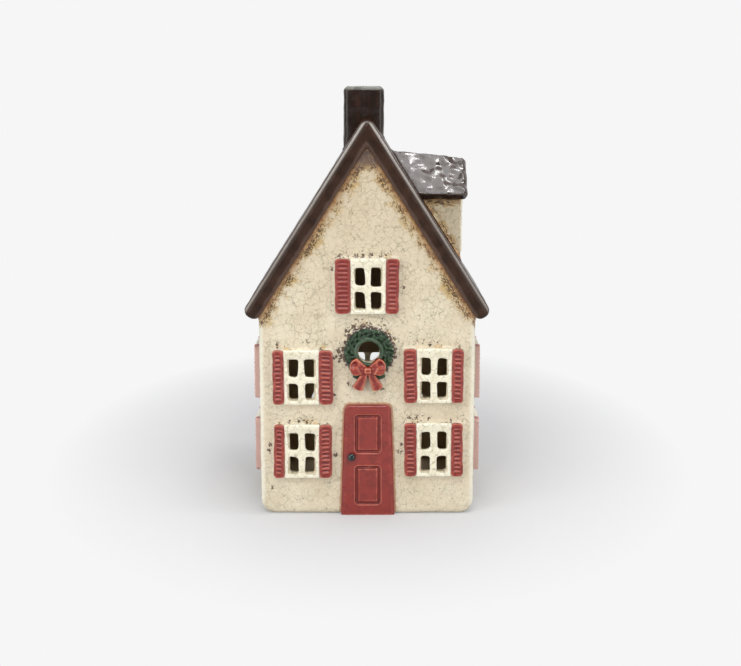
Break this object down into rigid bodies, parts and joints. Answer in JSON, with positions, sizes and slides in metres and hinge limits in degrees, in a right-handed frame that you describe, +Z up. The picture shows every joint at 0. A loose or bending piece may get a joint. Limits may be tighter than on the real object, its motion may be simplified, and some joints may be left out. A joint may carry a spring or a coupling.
{
  "type": "tealight house",
  "caption": "Ceramic tealight house with steep gabled roof, chimney, side dormer, cut-out windows with louvred shutters, panelled door, wreath, open back and tealight.",
  "frame": {"origin": "on the table, at the centre of the base that the house stands on", "axes": "+Z up, -Y towards the front with the door, +X towards the dormer's side"},
  "size_m": [0.1074, 0.0948, 0.19],
  "materials": {
    "wall_glaze": "cream glaze with fine brown crackle, rusty at edges",
    "frame_glaze": "off-white glaze, thin and rusty on the edges",
    "roof_glaze": "glossy lumpy grey-brown glaze",
    "chimney_glaze": "very dark brown glaze with reddish runs",
    "shutter_glaze": "brick red glaze, paler on the slats",
    "door_glaze": "rose red glaze with rusty edges",
    "knob_glaze": "blue-black glaze",
    "wreath_glaze": "dark green glaze",
    "bow_glaze": "pinkish red glaze",
    "cup_aluminium": "bright rolled foil",
    "candle_wax": "smooth, slightly waxy",
    "wick_cotton": "waxed cotton braid",
    "tab_steel": "thin stamped steel"
  },
  "bodies": {
    "house": {"floor_slab": "wall_glaze", "front_wall": "wall_glaze", "back_wall": "wall_glaze", "left_wall": "wall_glaze", "right_wall": "wall_glaze", "dormer_gable": "wall_glaze", "dormer_front_cheek": "wall_glaze", "dormer_back_cheek": "wall_glaze", "left_roof_slab": "roof_glaze", "right_roof_slab": "roof_glaze", "dormer_front_slope": "roof_glaze", "dormer_back_slope": "roof_glaze", "chimney": "chimney_glaze", "top_window_frame": "frame_glaze", "upper_left_window_frame": "frame_glaze", "upper_right_window_frame": "frame_glaze", "lower_left_window_frame": "frame_glaze", "lower_right_window_frame": "frame_glaze", "left_upper_front_window_frame": "frame_glaze", "left_upper_back_window_frame": "frame_glaze", "left_lower_front_window_frame": "frame_glaze", "left_lower_back_window_frame": "frame_glaze", "right_upper_front_window_frame": "frame_glaze", "right_upper_back_window_frame": "frame_glaze", "right_lower_front_window_frame": "frame_glaze", "right_lower_back_window_frame": "frame_glaze", "dormer_window_frame": "frame_glaze", "back_window_frame": "frame_glaze", "top_left_shutter": "shutter_glaze", "top_right_shutter": "shutter_glaze", "upper_left_left_shutter": "shutter_glaze", "upper_left_right_shutter": "shutter_glaze", "upper_right_left_shutter": "shutter_glaze", "upper_right_right_shutter": "shutter_glaze", "lower_left_left_shutter": "shutter_glaze", "lower_left_right_shutter": "shutter_glaze", "lower_right_left_shutter": "shutter_glaze", "lower_right_right_shutter": "shutter_glaze", "left_upper_front_shutters": "shutter_glaze", "left_upper_back_shutters": "shutter_glaze", "left_lower_front_shutters": "shutter_glaze", "left_lower_back_shutters": "shutter_glaze", "right_upper_front_shutters": "shutter_glaze", "right_upper_back_shutters": "shutter_glaze", "right_lower_front_shutters": "shutter_glaze", "right_lower_back_shutters": "shutter_glaze", "door": "door_glaze", "door_knob": "knob_glaze", "wreath": "wreath_glaze", "bow": "bow_glaze"},
    "tealight": {"candle_cup": "cup_aluminium", "wick_tab": "tab_steel", "candle_wax": "candle_wax", "candle_wick": "wick_cotton"}
  },
  "joints": [
    {"name": "tealight_slide", "type": "slide", "parent": "house", "child": "tealight", "axis": [0, 1, 0], "range_m": [0, 0.07]}
  ]
}
